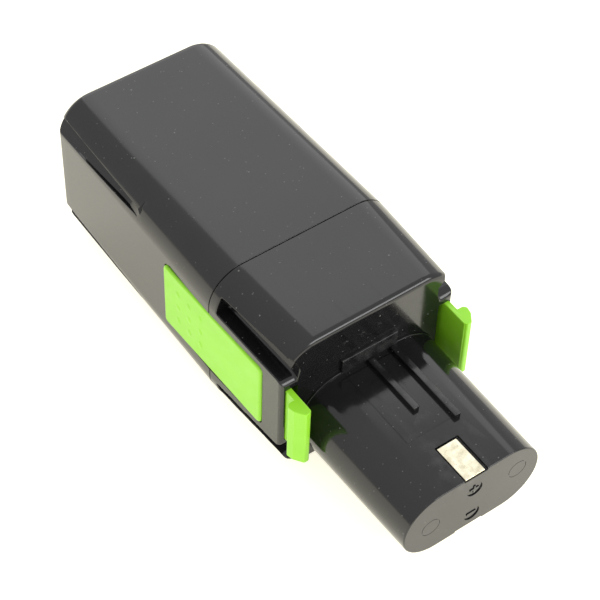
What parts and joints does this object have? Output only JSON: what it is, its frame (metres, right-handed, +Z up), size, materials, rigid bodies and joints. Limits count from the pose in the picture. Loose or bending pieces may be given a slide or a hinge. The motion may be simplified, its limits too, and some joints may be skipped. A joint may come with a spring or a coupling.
{
  "type": "slide-in battery pack",
  "caption": "Slide-in stick battery pack for a cordless drill: tapered two-piece housing, round-ended contact tower, guide channels and a sprung release latch on each long side.",
  "frame": {"origin": "bottom centre of the bounding box, on the flat side that the pack lies on", "axes": "+X along the pack towards the contact tower, +Y towards the right-hand latch, +Z up as the pack lies"},
  "size_m": [0.1816, 0.069, 0.058],
  "materials": {
    "housing": "polished black ABS with fine scuffs and dust",
    "latch": "satin lime green acetal",
    "contact": "nickel plated, lightly tarnished",
    "nickel_strip": "bright nickel strip",
    "steel": "zinc plated steel",
    "carrier": "glass filled nylon",
    "cell_sleeve": "shrink sleeve",
    "foam": "closed cell foam",
    "card": "fish paper",
    "red_wire": "silicone insulation",
    "black_wire": "silicone insulation"
  },
  "bodies": {
    "pack": {"rear_shell": "housing", "front_housing": "housing", "contact_positive": "contact", "contact_negative": "contact", "latch_carrier": "carrier", "carrier_screw_left": "steel", "carrier_screw_right": "steel", "latch_spring_left_low": "steel", "latch_spring_left_high": "steel", "latch_spring_right_low": "steel", "latch_spring_right_high": "steel", "cell_01": "cell_sleeve", "cell_02": "cell_sleeve", "cell_03": "cell_sleeve", "cell_04": "cell_sleeve", "cell_05": "cell_sleeve", "cell_06": "cell_sleeve", "cell_07": "cell_sleeve", "cell_08": "cell_sleeve", "cell_09": "cell_sleeve", "cell_10": "cell_sleeve", "middle_link_a": "nickel_strip", "middle_link_b": "nickel_strip", "middle_link_c": "nickel_strip", "middle_link_d": "nickel_strip", "rear_link_left": "nickel_strip", "rear_link_right": "nickel_strip", "front_link": "nickel_strip", "stack_tab_negative": "nickel_strip", "stack_tab_positive": "nickel_strip", "tower_tab_negative": "nickel_strip", "tower_tab_positive": "nickel_strip", "rear_foam_pad": "foam", "front_insulator_board": "card", "tower_divider": "card", "thermal_cutout": "steel", "lead_negative": "black_wire", "lead_positive_rear": "red_wire", "lead_positive_front": "red_wire"},
    "left_latch": {"latch_left": "latch"},
    "right_latch": {"latch_right": "latch"}
  },
  "joints": [
    {"name": "latch_left_press", "type": "slide", "parent": "pack", "child": "left_latch", "axis": [0, 1, 0], "range_m": [0, 0.0022], "stiffness_N_per_m": 800, "springref_m": -0.004, "deforming": ["latch_spring_left_low", "latch_spring_left_high"]},
    {"name": "latch_right_press", "type": "slide", "parent": "pack", "child": "right_latch", "axis": [0, -1, 0], "range_m": [0, 0.0022], "stiffness_N_per_m": 800, "springref_m": -0.004, "deforming": ["latch_spring_right_low", "latch_spring_right_high"]}
  ]
}
